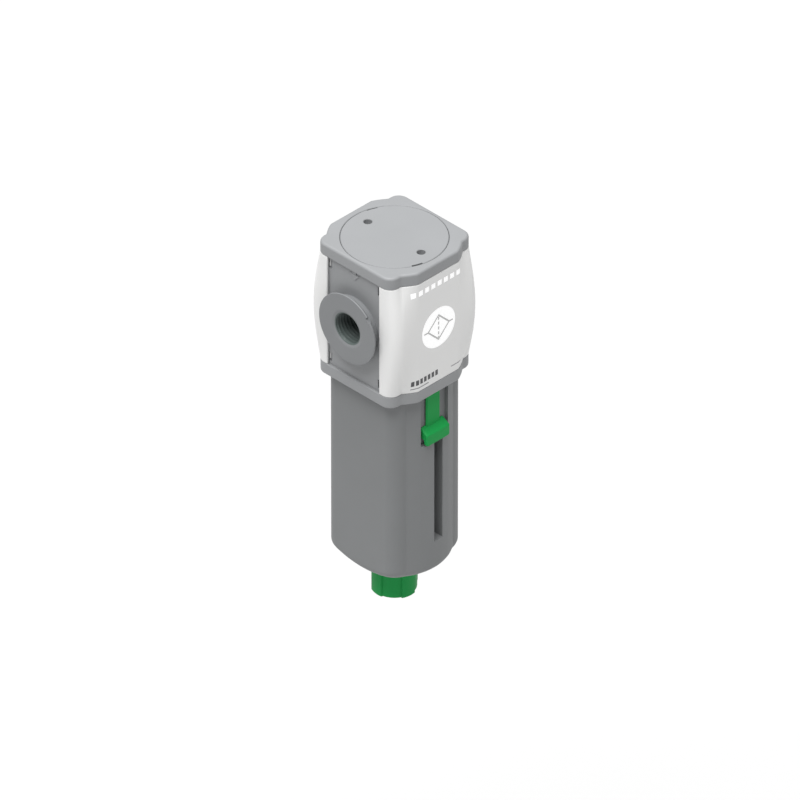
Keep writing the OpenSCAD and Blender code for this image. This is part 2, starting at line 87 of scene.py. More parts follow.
def node_span(node, axis):
    """Lowest and highest place of a node along an axis, in millimetres."""
    low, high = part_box(node)
    return low[axis] / MM, high[axis] / MM


def node_half_width(node, axis):
    """Half of a node's extent along an axis, in millimetres."""
    low, high = node_span(node, axis)
    return (high - low) / 2


AXIS_X = sum(node_span("bowl", 0)) / 2
PORT_FACE = AXIS_X - node_span("inlet_insert", 0)[0]

# Head casting
PLATE_HALF_X = 20
PLATE_HALF_Y = node_half_width("head_body", 1)
PLATE_NOSE_Y = 18
PLATE_NOSE_R = 4
PLATE_BOW_R = 23.3
HEAD_TOP = node_span("head_body", 2)[1]
HEAD_BASE = node_span("head_body", 2)[0]
COVER_HALF_Z = node_half_width("front_cover", 2)
CORE_HALF_X = 19
CORE_HALF_Y = 19.2
CORE_NOSE_Y = 17
CORE_NOSE_R = 5
HOOK_Z = (17.4, 21)
HOOK_Y = (10.95, 12.85)
HOOK_DEPTH = 0.8
PORT_WINDOW = 9.5
PORT_SEAT_R = 8.65
PORT_SEAT_END = 12
PASSAGE_R = 5
ARROW_TIP_Z = 18.2
LUG_ANGLES = (90, 210, 330)
LUG_HALF_SWEEP = 14
TONGUE_GROOVE = (-105, -45)
SOCKET_R = 17.4
LUG_R = 16
TONGUE_GROOVE_R = 19.9
PLATE_BREAK = 0.25

# Covers
COVER_EDGE_Y = 12.45
COVER_SIDE_WALL = 0.95
COVER_HOOK_X = (17.9, 18.5)
COVER_HOOK_Y = (12.15, 12.8)
COVER_HOOK_HALF_Z = 1.4

# Top plug
PLUG_R = 18.5
PLUG_SEAT_Z = 24
SPANNER_PITCH = 12.8
SPANNER_R = 1.5
SPANNER_ANGLES = (90, 270)
SPANNER_FLOOR_Z = 24.6
PLUG_SLITS = (70, 250)

# Port inserts
FLANGE_R = 13.4
FLANGE_T = 1.5
INSERT_LENGTH = 11
NOTCH_ANGLE = 50
# Reach, and extent along the port axis, of the painted shade inside the port bores
BORE_SHADE_R = 7
BORE_SHADE_X = PORT_FACE - 0.4

# Guard, bowl and latch
GUARD_TOP = -27.3
GUARD_HALF_X = 16.8
GUARD_NOSE_R = 5
GUARD_BOW_R = 20.3
GUARD_BORE_R = 14.3
GUARD_HOLE_R = 8.9
GUARD_WALL = 2
DOME_R = 42
DOME_CAP = 0.95
DOME_CENTRE = node_span("bowl_guard", 2)[0] + DOME_R - DOME_CAP
CHANNEL_HALF = 6.5
CHANNEL_Y = -17.8
CHANNEL_END = -48
SPRING_POCKET_HALF = 2.2
SPRING_POCKET_Z = (-29.5, -41)
SPRING_POCKET_DEPTH = 2.1
SLOT_X = (-1.1, 3.1)
SLOT_Z = (-47, -89.6)

# Knob
KNOB_R = 8.4
KNOB_TOP = node_span("drain_knob", 2)[1]
KNOB_BASE = node_span("drain_knob", 2)[0]
PAD_ANGLES = (-97.5, -7.5, 82.5, 172.5)
PAD_HALF_SWEEP = 19.5

# Studio: the filter hangs in its line, clear of the floor
FLOOR_DROP = 250


# ---------- sizes and colours that a user may change ----------


class HeadLook(bpy.types.PropertyGroup):
    plate_fillet: bpy.props.FloatProperty(
        name="Plate fillet", description="Rounding of the end plates' outer edges",
        default=1.0 * MM, min=0.2 * MM, max=1.8 * MM, unit="LENGTH")
    seat_gap: bpy.props.FloatProperty(
        name="Seat gap", description="Gap round the top plug",
        default=0.15 * MM, min=0.05 * MM, max=0.4 * MM, unit="LENGTH")
    arrow_height: bpy.props.FloatProperty(
        name="Arrow height", description="Height of the raised arrow on each port side",
        default=0.3 * MM, min=0.1 * MM, max=0.5 * MM, unit="LENGTH")
    colour: bpy.props.FloatVectorProperty(
        name="Head", description="Grey of the head casting and the top plug",
        default=(0.262, 0.268, 0.275), min=0, max=1, size=3, subtype="COLOR")
    # Darker colour painted inside the threaded bores: painted shade of the holes
    bore_shade_colour: bpy.props.FloatVectorProperty(
        name="Port bores", description="Dark grey of the threaded bores",
        default=(0.09, 0.112, 0.107), min=0, max=1, size=3, subtype="COLOR")
    insert_colour: bpy.props.FloatVectorProperty(
        name="Inserts", description="Grey of the threaded port inserts",
        default=(0.192, 0.198, 0.204), min=0, max=1, size=3, subtype="COLOR")


class CoverLook(bpy.types.PropertyGroup):
    front_wall: bpy.props.FloatProperty(
        name="Front wall", description="Wall of a cover at its front face",
        default=1.8 * MM, min=1.2 * MM, max=1.9 * MM, unit="LENGTH")
    corner: bpy.props.FloatProperty(
        name="Corner", description="Corner radius of a cover at mid height",
        default=4 * MM, min=3 * MM, max=6 * MM, unit="LENGTH")
    rim: bpy.props.FloatProperty(
        name="Rim", description="Rounding of a cover's rims",
        default=0.3 * MM, min=0.1 * MM, max=0.4 * MM, unit="LENGTH")
    colour: bpy.props.FloatVectorProperty(
        name="Covers", description="White of the covers",
        default=(0.72, 0.72, 0.715), min=0, max=1, size=3, subtype="COLOR")


class GuardLook(bpy.types.PropertyGroup):
    bottom_fillet: bpy.props.FloatProperty(
        name="Bottom fillet", description="Rounding between the guard's walls and its dome",
        default=2.2 * MM, min=0.5 * MM, max=3 * MM, unit="LENGTH")
    colour: bpy.props.FloatVectorProperty(
        name="Guard", description="Grey of the bowl guard",
        default=(0.18, 0.186, 0.189), min=0, max=1, size=3, subtype="COLOR")
    bowl_tint: bpy.props.FloatVectorProperty(
        name="Bowl", description="Tint of the clear bowl",
        default=(0.80, 0.86, 0.88), min=0, max=1, size=3, subtype="COLOR")


class ControlLook(bpy.types.PropertyGroup):
    button_round: bpy.props.FloatProperty(
        name="Button rounding", description="Corner radius of the latch button",
        default=0.9 * MM, min=0.3 * MM, max=1.5 * MM, unit="LENGTH")
    pad_height: bpy.props.FloatProperty(
        name="Pad height", description="Height of the knob's grip pads over its body",
        default=0.6 * MM, min=0.2 * MM, max=0.8 * MM, unit="LENGTH")
    colour: bpy.props.FloatVectorProperty(
        name="Controls", description="Green of the latch and the drain knob",
        default=(0.012, 0.285, 0.063), min=0, max=1, size=3, subtype="COLOR")


class StudioLook(bpy.types.PropertyGroup):
    lens: bpy.props.FloatProperty(
        name="Lens", description="Focal length of the camera in millimetres",
        default=1200, min=50, max=1600)
    view_width: bpy.props.FloatProperty(
        name="View width", description="Width that the picture shows at the filter",
        default=272.1 * MM, min=100 * MM, max=600 * MM, unit="LENGTH")
    key_strength: bpy.props.FloatProperty(
        name="Key light", description="Strength of the soft sun above",
        default=5.05, min=0)
    key_spread: bpy.props.FloatProperty(
        name="Key spread", description="Angle that the soft sun fills in the sky",
        default=float(np.radians(50)), min=0, max=float(np.pi), unit="ROTATION")
    key_heading: bpy.props.FloatVectorProperty(
        name="Key heading", description="Direction from the filter towards the soft sun",
        default=(-0.24, -0.02, 1), size=3, subtype="DIRECTION")
    sky: bpy.props.FloatProperty(
        name="Sky", description="Strength of the even light from all round",
        default=0.35, min=0)


# ---------- outlines ----------


def box_reach(angle, half_x, half_y):
    """Distance from the axis to a rectangle: the shorter of the reaches to its two pairs of sides."""
    return np.minimum(half_x / np.maximum(abs(np.cos(angle)), TINY),
                      half_y / np.maximum(abs(np.sin(angle)), TINY))


def rounded_reach(angle, half_x, half_y, corner):
    """Distance to a rectangle with rounded corners.

    Between the corners it is the plain rectangle's. In a corner it is the far root of the quadratic
    for a ray that meets the circle about the corner's centre.
    """
    c, s = abs(np.cos(angle)), abs(np.sin(angle))
    flat = box_reach(angle, half_x, half_y)
    centre_x, centre_y = half_x - corner, half_y - corner
    along = centre_x * c + centre_y * s
    under_root = along**2 - (centre_x**2 + centre_y**2 - corner**2)
    arc = along + np.sqrt(np.maximum(under_root, 0))
    in_corner = (flat * c > centre_x) & (flat * s > centre_y)
    return np.where(in_corner, arc, flat)


def bowed_reach(angle, half_x, half_y, nose_y, corner, bow):
    """Distance to a nosed square whose front and back bow outwards.

    It is the farther of the rounded square and of a circle clipped to the full width and depth.
    """
    clipped = np.minimum(bow, box_reach(angle, half_x, half_y))
    return np.maximum(rounded_reach(angle, half_x, nose_y, corner), clipped)


def plate_reach(angle, inset=0.0):
    """Outline of the head's end plates, drawn in evenly by an inset."""
    return bowed_reach(angle, PLATE_HALF_X - inset, PLATE_HALF_Y - inset,
                       PLATE_NOSE_Y - inset, PLATE_NOSE_R - inset, PLATE_BOW_R - inset)


def guard_reach(angle, inset=0.0):
    """Outline of the guard, drawn in evenly by an inset."""
    return bowed_reach(angle, GUARD_HALF_X - inset, GUARD_BOW_R - inset,
                       GUARD_HALF_X - inset, GUARD_NOSE_R - inset, GUARD_BOW_R - inset)


def angles_round(start, count, marks=()):
    """Rising angles for one turn from a start, in degrees: even steps with the marks among them."""
    even = np.arange(count) * FULL_TURN / count
    wanted = (np.array(marks, float) - start) % FULL_TURN
    return np.unique(np.round(np.concatenate([even, wanted]), 3)) + start


def edge_angles(centres, half_sweep, steps=(0,)):
    """Angles at both edges of like sweeps, and a step beyond each edge for every step given."""
    return [a + s * (half_sweep + d) for a in centres for s in (-1, 1) for d in steps]


def within(angle, centre, half_sweep):
    """True where an angle lies within half a sweep of a centre, in degrees."""
    return abs((angle - centre + 180) % FULL_TURN - 180) <= half_sweep + TINY


def in_any(angle, centres, half_sweep):
    """True where an angle lies near any of several centres."""
    return np.any([within(angle, centre, half_sweep) for centre in centres], axis=0)


def nearest(values, wanted):
    """Index of the value nearest to the wanted one."""
    return int(np.argmin(abs(np.asarray(values) - wanted)))


def upright_grid(angle, rows):
    """Points of a surface round the vertical axis.

    Each row is a reach and a height, numbers or one for each angle. The point is the reach along the
    angle's direction, at the height.
    """
    reach = np.array([np.broadcast_to(row[0], angle.shape) for row in rows], float)
    height = np.array([np.broadcast_to(row[1], angle.shape) for row in rows], float)
    turn = np.radians(angle)
    return np.stack([reach * np.cos(turn), reach * np.sin(turn), height], -1)


def fillet(inset_end, steps=4):
    """Quarter-round between a wall and a face: inset and drop for each step, from face to wall."""
    a = np.linspace(0, np.pi / 2, steps + 1)
    return [(inset_end * (1 - np.sin(t)), inset_end * (1 - np.cos(t))) for t in a]


def even_turn(angle):
    """Angles of a closed loop, spread evenly over one turn from the first, the same way round."""
    steps = np.unwrap(angle)
    way = np.sign(steps[-1] - steps[0])
    spread = angle[0] + way * 2 * np.pi * np.arange(len(angle)) / len(angle)
    return spread + np.mean(steps - spread)


def circle_points(angle, radius, place, axis="z"):
    """Circle about the vertical axis or the port axis, at a place along it."""
    c, s = np.cos(angle) * radius, np.sin(angle) * radius
    level = np.full_like(c, place)
    if axis == "x":
        return np.stack([level, c, s], -1)
    return np.stack([c, s, level], -1)


def dome_z(reach, radius):
    """Height on a sphere about the dome's centre, below it."""
    return DOME_CENTRE - np.sqrt(radius**2 - reach**2)


# ---------- building a surface ----------


class Skin:
    """Points and faces of one piece, gathered surface by surface."""

    def __init__(self):
        self.points = np.zeros((0, 3))
        self.faces = []

    def put(self, points):
        """Adds points and returns their numbers."""
        points = np.asarray(points, float).reshape(-1, 3)
        numbers = np.arange(len(points)) + len(self.points)
        self.points = np.concatenate([self.points, points])
        return numbers

    def grid(self, points, wrap_rows=False, wrap_columns=True, windows=()):
        """Adds a grid of points as quads, with rectangular windows left open, and returns its numbers."""
        numbers = self.put(points).reshape(points.shape[:2])
        net = np.concatenate([numbers, numbers[:, :1]], 1) if wrap_columns else numbers
        net = np.concatenate([net, net[:1]]) if wrap_rows else net
        solid = np.ones((net.shape[0] - 1, net.shape[1] - 1), bool)
        for row0, row1, column0, column1 in windows:
            solid[row0:row1, column0:column1] = False
        quads = np.stack([net[:-1, :-1], net[:-1, 1:], net[1:, 1:], net[1:, :-1]], -1)
        self.faces += quads[solid].tolist()
        return numbers

    def window_edge(self, numbers, window):
        """Numbers of the points round a window, in order."""
        row0, row1, column0, column1 = window
        return np.concatenate([
            numbers[row0, column0:column1], numbers[row0:row1, column1],
            numbers[row1, column1:column0:-1], numbers[row1:row0:-1, column0]])

    def strip(self, first, second):
        """Joins two closed loops of equal length with quads."""
        quads = np.stack([first, np.roll(first, -1), np.roll(second, -1), second], -1)
        self.faces += quads.tolist()

    def fan(self, loop, place=None):
        """Closes a loop with triangles to its middle, or to another place."""
        middle = self.put(self.points[loop].mean(0) if place is None else place)[0]
        ends = np.stack([loop, np.roll(loop, -1), np.full(len(loop), middle)], -1)
        self.faces += ends.tolist()

    def carry_on(self, loop, rings):
        """Carries a loop on through further rings of points and closes the last one."""
        for ring in rings:
            following = self.put(ring)
            self.strip(loop, following)
            loop = following
        self.fan(loop)

    def prism(self, lower, upper):
        """Closed block between two outlines with the same number of points."""
        first, second = self.put(lower), self.put(upper)
        self.strip(first, second)
        self.fan(first)
        self.fan(second)

    def block(self, x, y, z, corner=0.3, edge=0.2):
        """Block between three pairs of limits, rounded in plan by a corner and chamfered by an edge."""
        angle = angles_round(0, 40)
        turn = np.radians(angle)
        half_x, half_y = (x[1] - x[0]) / 2, (y[1] - y[0]) / 2
        middle = [(x[0] + x[1]) / 2, (y[0] + y[1]) / 2, 0]

        def plan(inset):
            return rounded_reach(turn, half_x - inset, half_y - inset, max(corner - inset, 0.05))

        rows = [(0, z[0]), (plan(edge), z[0]), (plan(edge / 3), z[0] + edge / 3), (plan(0), z[0] + edge),
                (plan(0), z[1] - edge), (plan(edge / 3), z[1] - edge / 3), (plan(edge), z[1]), (0, z[1])]
        self.grid(upright_grid(angle, rows) + middle)


def make_piece(name, skin, node, body, finish, sharp_angle=32, rim=0.0):
    """Turns a skin into a piece that stands for a node, rides on its body and wears a finish."""
    mesh = bpy.data.meshes.new(name)
    places = (skin.points + [AXIS_X, 0, 0]) * MM
    mesh.from_pydata(places.tolist(), [], skin.faces)
    shape = bmesh.new()
    shape.from_mesh(mesh)
    bmesh.ops.remove_doubles(shape, verts=shape.verts, dist=MERGE_DISTANCE)
    bmesh.ops.dissolve_degenerate(shape, dist=MERGE_DISTANCE, edges=shape.edges)
    bmesh.ops.recalc_face_normals(shape, faces=shape.faces)
    shape.to_mesh(mesh)
    shape.free()
    if not mesh.polygons:
        raise RuntimeError(f"{name} came out empty")
    mesh.polygons.foreach_set("use_smooth", np.ones(len(mesh.polygons), bool))
    mesh.set_sharp_from_angle(angle=np.radians(sharp_angle))
    mesh.materials.append(finish)
    piece = bpy.data.objects.new(name, mesh)
    bpy.context.scene.collection.objects.link(piece)
    if rim:
        rounding = piece.modifiers.new("Rim", "BEVEL")
        rounding.width = rim
        rounding.segments = 2
        rounding.limit_method = "ANGLE"
        rounding.angle_limit = np.radians(RIM_ANGLE)
    weighted = piece.modifiers.new("Flat faces", "WEIGHTED_NORMAL")
    weighted.keep_sharp = True
    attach(piece, body)
    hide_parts(node)
    return piece


# ---------- finishes ----------


class Wire:
    """A shader socket on which sums, products and comparisons read as plain arithmetic."""

    def __init__(self, graph, socket):
        self.graph = graph
        self.socket = socket

    def _calculate(self, operation, *values):
        sockets = dict(enumerate(values))
        return self.graph.add("ShaderNodeMath", {"operation": operation}, sockets)

    def __add__(self, other):
        return self._calculate("ADD", self, other)

    __radd__ = __add__

    def __sub__(self, other):
        return self._calculate("SUBTRACT", self, other)

    def __rsub__(self, other):
        return self._calculate("SUBTRACT", other, self)

    def __mul__(self, other):
        return self._calculate("MULTIPLY", self, other)

    __rmul__ = __mul__

    def __truediv__(self, other):
        return self._calculate("DIVIDE", self, other)

    def __abs__(self):
        return self._calculate("ABSOLUTE", self)

    def __lt__(self, other):
        return self._calculate("LESS_THAN", self, other)

    def __gt__(self, other):
        return self._calculate("GREATER_THAN", self, other)

    def __or__(self, other):
        return self._calculate("MAXIMUM", self, other)

    def repeat(self, length):
        """Remainder after whole lengths, for a row of like marks."""
        return self._calculate("WRAP", self, length, 0)

    def reach(self, other):
        """Length of the diagonal over two sides."""
        return self._calculate("SQRT", self * self + other * other)


class Finish:
    """Material for one finish, with its nodes added by one method."""

    def __init__(self, name):
        self.material = bpy.data.materials.new(name)
        self.material.use_nodes = True
        self.tree = self.material.node_tree
        self.tree.nodes.clear()
        self.place = self.add("ShaderNodeTexCoord", out="Object")

    def add(self, kind, settings=None, sockets=None, out=0):
        """Adds a node: first its settings, with any ramp stops, then its sockets' values or links."""
        node = self.tree.nodes.new(kind)
        for key, value in (settings or {}).items():
            if key == "stops":
                self._set_stops(node, value)
            else:
                setattr(node, key, value)
        for key, value in (sockets or {}).items():
            if isinstance(value, Wire):
                self.tree.links.new(value.socket, node.inputs[key])
            else:
                node.inputs[key].default_value = value
        return Wire(self, node.outputs[out])

    def _set_stops(self, node, stops):
        for element, (position, level) in zip(node.color_ramp.elements, stops):
            element.position = position
            element.color = (level, level, level, 1)

    def noise(self, per_metre, detail=2.0, stretch=(1, 1, 1)):
        """Even noise with about so many features in a metre."""
        spread = self.add("ShaderNodeMapping", None, {"Vector": self.place, "Scale": stretch})
        return self.add("ShaderNodeTexNoise", None,
                        {"Vector": spread, "Scale": per_metre, "Detail": detail})

    def tint(self, factor, first, second):
        """Colour between two others."""
        return self.add("ShaderNodeMix", {"data_type": "RGBA"},
                        {"Factor": factor, 6: first, 7: second}, out=2)

    def bump(self, height, depth):
        """Normal for a surface raised by a height of 0 to 1 times a depth in metres."""
        return self.add("ShaderNodeBump", None, {"Height": height, "Strength": 1.0, "Distance": depth})

    def position(self):
        """Place in millimetres from the filter's axis: x, y and z."""
        parts = [self.add("ShaderNodeSeparateXYZ", None, {0: self.place}, out=axis) for axis in range(3)]
        return parts[0] / MM - AXIS_X, parts[1] / MM, parts[2] / MM

    def close(self, **sockets):
        """Ends the material with a Principled shader whose sockets are named with underscores."""
        named = {key.replace("_", " "): value for key, value in sockets.items()}
        shader = self.add("ShaderNodeBsdfPrincipled", None, named)
        self.add_output(shader)
        return self.material

    def add_output(self, shader):
        """Links the closing shader to the material's output."""
        output = self.tree.nodes.new("ShaderNodeOutputMaterial")
        self.tree.links.new(shader.socket, output.inputs["Surface"])


def shade(colour, factor):
    """Colour made lighter or darker, with its opacity added."""
    return tuple(min(channel * factor, 1.0) for channel in colour) + (1.0,)


def moulded_polymer(name, colour, grain_depth=6e-6, roughness=0.52, gloss=0.4, bore_shade_colour=None):
    """Moulded plastic with a fine even grain and faint flow shading.

    Given a colour for the bore, it paints that darker colour inside the threaded bore along the port axis, as
    painted shade of the deep hole.
    """
    finish = Finish(name)
    grain = finish.noise(GRAIN_PER_METRE, 1.0)
    cloud = finish.noise(CLOUD_PER_METRE, 2.0)
    skin = finish.tint(cloud, shade(colour, 0.95), shade(colour, 1.05))
    if bore_shade_colour is not None:
        x, y, z = finish.position()
        # Painted shade: inside the bore the colour goes over to a darker one
        bore = finish.tint(cloud, shade(bore_shade_colour, 0.9), shade(bore_shade_colour, 1.1))
        skin = finish.tint((y.reach(z) < BORE_SHADE_R) * (abs(x) < BORE_SHADE_X), skin, bore)
    return finish.close(
        Base_Color=skin,
        Roughness=grain * 0.12 + (roughness - 0.06),
        Normal=finish.bump(grain, grain_depth),
        Specular_IOR_Level=gloss)


def bar(across, up, x, z):
    """1 inside an upright rectangle between two pairs of limits, 0 elsewhere."""
    wide = abs(across - (x[0] + x[1]) / 2) < (x[1] - x[0]) / 2
    tall = abs(up - (z[0] + z[1]) / 2) < (z[1] - z[0]) / 2
    return wide * tall


def printed_cover(name, colour):
    """White moulding whose front carries plain printed marks, the white ones with a faint painted glow.

    A white disc holds the drawing symbol for a filter: a diamond with a dashed line across it.
    A row of white blocks stands above it, and dark rating marks below.
    """
    finish = Finish(name)
    x, y, z = finish.position()
    front = y < -PLATE_HALF_Y + 2.5
    disc_r, diamond, line = 7.9, 5.0, 0.32
    disc = x.reach(z) < disc_r
    outline = abs(abs(x) + abs(z) - diamond) < line * 1.4
    dashes = bar(x, z, (-line, line), (-diamond, diamond)) * ((z + diamond).repeat(2) < 1.3)
    arms = bar(abs(x), z, (diamond, disc_r - 1), (-line, line))
    symbol = outline | dashes | arms
    blocks = bar(x, z, (-12.5, 10.5), (17.2, 19.2)) * ((x + 12.5).repeat(3.0) < 1.9)
    rating = bar(x, z, (-12.4, 0.2), (-19.4, -17.3)) * ((x + 12.4).repeat(1.8) < 1.25)
    small = bar(x, z, (-12.4, -4.8), (-20.8, -20.4)) | bar(x, z, (6, 11), (-19.5, -19.1))
    cloud = finish.noise(45, 2.0)
    grain = finish.noise(4200, 1.0)
    plain = finish.tint(cloud, shade(colour, 0.97), shade(colour, 1.02))
    whitened = finish.tint(front * (disc | blocks), plain, (1, 1, 1, 1))
    lined = finish.tint(front * disc * symbol, whitened, shade(colour, 0.72))
    marked = finish.tint(front * rating, lined, (0.06, 0.06, 0.065, 1))
    marked = finish.tint(front * small, marked, (0.22, 0.22, 0.23, 1))
    return finish.close(
        Base_Color=marked,
        # Painted light: the white disc and blocks glow faintly, so the print looks brighter than the lit
        # cover.
        Emission_Color=finish.tint(front * ((disc * (1 - symbol)) | blocks), (0, 0, 0, 1), (1, 1, 1, 1)),
        Emission_Strength=0.16,
        Roughness=grain * 0.08 + 0.36,
        Normal=finish.bump(grain, 2e-6),
        Specular_IOR_Level=0.45)


def clear_polycarbonate(name, colour):
    """Clear, slightly smoky plastic with faint moulding waves."""
    finish = Finish(name)
    wave = finish.noise(90, 1.0, (1, 1, 0.25))
    return finish.close(
        Base_Color=finish.tint(wave, shade(colour, 0.97), shade(colour, 1.03)),
        Roughness=wave * 0.05 + 0.04,
        Normal=finish.bump(wave, 2e-5),
        Transmission_Weight=0.92,
        IOR=1.58)


def nitrile_rubber(name):
    """Matt black rubber with a soft bloom."""
    finish = Finish(name)
    bloom = finish.noise(700, 3.0)
    return finish.close(
        Base_Color=finish.tint(bloom, (0.012, 0.012, 0.013, 1), (0.03, 0.03, 0.032, 1)),
        Roughness=bloom * 0.2 + 0.6,
        Normal=finish.bump(bloom, 1e-5))


def drawn_steel(name):
    """Stainless wire and sheet with fine lengthwise drawing marks."""
    finish = Finish(name)
    marks = finish.noise(2600, 2.0, (1, 1, 0.12))
    return finish.close(
        Base_Color=finish.tint(marks, (0.5, 0.51, 0.53, 1), (0.68, 0.69, 0.7, 1)),
        Metallic=1.0,
        Roughness=marks * 0.2 + 0.18,
        Normal=finish.bump(marks, 2e-6))


def turned_brass(name):
    """Brass with fine turning rings across its height."""
    finish = Finish(name)
    rings = finish.noise(900, 2.0, (0.15, 0.15, 4))
    return finish.close(
        Base_Color=finish.tint(rings, (0.62, 0.44, 0.18, 1), (0.8, 0.62, 0.32, 1)),
        Metallic=1.0,
        Roughness=rings * 0.18 + 0.2,
        Normal=finish.bump(rings, 3e-6))


def sintered_polymer(name):
    """Porous filter body: packed white beads, with painted shade darkening the pores between them."""
    finish = Finish(name)
    beads = finish.add("ShaderNodeTexVoronoi", None, {"Vector": finish.place, "Scale": 2600.0},
                       out="Distance")
    # Painted shade: the pores between the beads are coloured dark
    pore_shade = finish.add("ShaderNodeValToRGB", {"stops": ((0.25, 1.0), (0.75, 0.0))}, {"Fac": beads})
    return finish.close(
        Base_Color=finish.tint(pore_shade, (0.5, 0.49, 0.44, 1), (0.86, 0.85, 0.79, 1)),
        Roughness=0.85,
        Normal=finish.bump(pore_shade, 8e-5))


def natural_acetal(name):
    """Milky engineering plastic with a satin surface."""
    finish = Finish(name)
    cloud = finish.noise(160, 3.0)
    grain = finish.noise(3800, 1.0)
    return finish.close(
        Base_Color=finish.tint(cloud, (0.74, 0.74, 0.7, 1), (0.83, 0.83, 0.79, 1)),
        Roughness=grain * 0.12 + 0.36,
        Normal=finish.bump(grain, 3e-6))


# ---------- pieces ----------


class FILTER_OT_head(bpy.types.Operator):
    """Head casting: plates, core with port bores and hook recesses, arrows and bayonet socket"""

    bl_idname = "filter.head"
    bl_label = "Head casting"

    def execute(self, context):
        look = context.scene.filter_head
        edge = look.plate_fillet / MM
        hooks = [np.degrees(np.arctan2(y, CORE_HALF_X)) for y in HOOK_Y]
        ports = np.degrees(np.arctan2(PORT_WINDOW, CORE_HALF_X))
        half_marks = [*hooks, ports]
        marks = [side + sign * mark for side in (0, 180) for sign in (-1, 1) for mark in half_marks]
        lug_edges = edge_angles(LUG_ANGLES, LUG_HALF_SWEEP, (0, STEP_SWEEP))
        middle = sum(TONGUE_GROOVE) / 2
        half_groove = (TONGUE_GROOVE[1] - TONGUE_GROOVE[0]) / 2
        grooves = edge_angles([middle], half_groove, (0, STEP_SWEEP))
        angle = angles_round(-45, 288, [*marks, *lug_edges, *grooves])
        turn = np.radians(angle)
        core = bowed_reach(turn, CORE_HALF_X, CORE_HALF_Y, CORE_NOSE_Y, CORE_NOSE_R, CORE_HALF_Y)
        lugs = np.where(in_any(angle, LUG_ANGLES, LUG_HALF_SWEEP), LUG_R, SOCKET_R)
        groove = within(angle, middle, half_groove)
        mouth = np.where(groove, TONGUE_GROOVE_R, lugs)
        above_lugs = np.where(groove, TONGUE_GROOVE_R, SOCKET_R)
        seat_r = PLUG_R + look.seat_gap / MM

        rows = [(0, 12), (14, 12), (14, PLUG_SEAT_Z), (seat_r, PLUG_SEAT_Z)]
        rows += [(seat_r, HEAD_TOP - 0.2), (seat_r + 0.2, HEAD_TOP)]
        rows += [(plate_reach(turn, inset), HEAD_TOP - drop) for inset, drop in fillet(edge)]
        rows += [(plate_reach(turn), COVER_HALF_Z + PLATE_BREAK)]
        rows += [(plate_reach(turn, PLATE_BREAK), COVER_HALF_Z)]
        rows += [(core, COVER_HALF_Z)]
        core_start = len(rows)
        heights = [HOOK_Z[1], HOOK_Z[0], PORT_WINDOW, -PORT_WINDOW, -HOOK_Z[0], -HOOK_Z[1]]
        rows += [(core, z) for z in heights]
        rows += [(core, -COVER_HALF_Z), (plate_reach(turn, PLATE_BREAK), -COVER_HALF_Z)]
        rows += [(plate_reach(turn), -COVER_HALF_Z - PLATE_BREAK)]
        rows += [(plate_reach(turn, i), HEAD_BASE + d) for i, d in fillet(edge * 0.8)[::-1]]
        rows += [(mouth, HEAD_BASE), (mouth, -24.7), (above_lugs, -24.7), (above_lugs, -24.2)]
        rows += [(SOCKET_R, -24.2), (SOCKET_R, -16.8), (14.8, -16.8), (14.8, -11), (11.8, -11), (11.8, -6)]
        rows += [(6, -6), (6, -16), (3.6, -16), (3.6, 0), (0, 0)]

        def columns(side, low_y, high_y):
            """Columns of the core's flat side between two distances from its middle."""
            edges = [side + np.degrees(np.arctan2(y, CORE_HALF_X)) for y in (low_y, high_y)]
            return sorted(nearest(angle, (e + 45) % FULL_TURN - 45) for e in edges)

        port_rows = (core_start + 2, core_start + 3)
        port_windows = [(*port_rows, *columns(side, -PORT_WINDOW, PORT_WINDOW)) for side in (0, 180)]
        hook_windows = [
            (core_start + row, core_start + row + 1, *columns(side, sign * HOOK_Y[0], sign * HOOK_Y[1]))
            for row in (0, 4) for side in (0, 180) for sign in (-1, 1)]
        skin = Skin()
        numbers = skin.grid(upright_grid(angle, rows), windows=port_windows + hook_windows)
        passage_ends = (0.5, 7)
        for window, side, end in zip(port_windows, (1, -1), passage_ends):
            loop = skin.window_edge(numbers, window)
            around = even_turn(np.arctan2(skin.points[loop, 2], skin.points[loop, 1]))
            skin.carry_on(loop, [
                circle_points(around, PORT_SEAT_R, side * CORE_HALF_X, "x"),
                circle_points(around, PORT_SEAT_R, side * PORT_SEAT_END, "x"),
                circle_points(around, PASSAGE_R, side * PORT_SEAT_END, "x"),
                circle_points(around, PASSAGE_R, side * end, "x")])
        for window in hook_windows:
            loop = skin.window_edge(numbers, window)
            sunk = skin.points[loop].copy()
            sunk[:, 0] -= np.sign(sunk[:, 0]) * HOOK_DEPTH
            skin.carry_on(loop, [sunk])
        self.add_arrows(skin, look.arrow_height / MM)
        make_piece("head_casting", skin, "head_body", "head",
                   moulded_polymer("head grey", look.colour))
        return {"FINISHED"}

    def add_arrows(self, skin, height):
        """Arrow on each port side: a three-sided head and a four-sided stem, both narrowing to their face."""
        head = np.array([(-2.6, 2.7), (0, 0), (2.6, 2.7)])
        stem = np.array([(-1, 2.65), (1, 2.65), (1, 3.9), (-1, 3.9)])
        for side in (-1, 1):
            for outline in (head, stem):
                level = np.full((len(outline), 1), side * CORE_HALF_X)
                root = np.concatenate([level, outline + [0, ARROW_TIP_Z]], 1)
                middle = root.mean(0)
                face = middle + (root - middle) * 0.85
                skin.prism(root - [side * 0.3, 0, 0], face + [side * height, 0, 0])


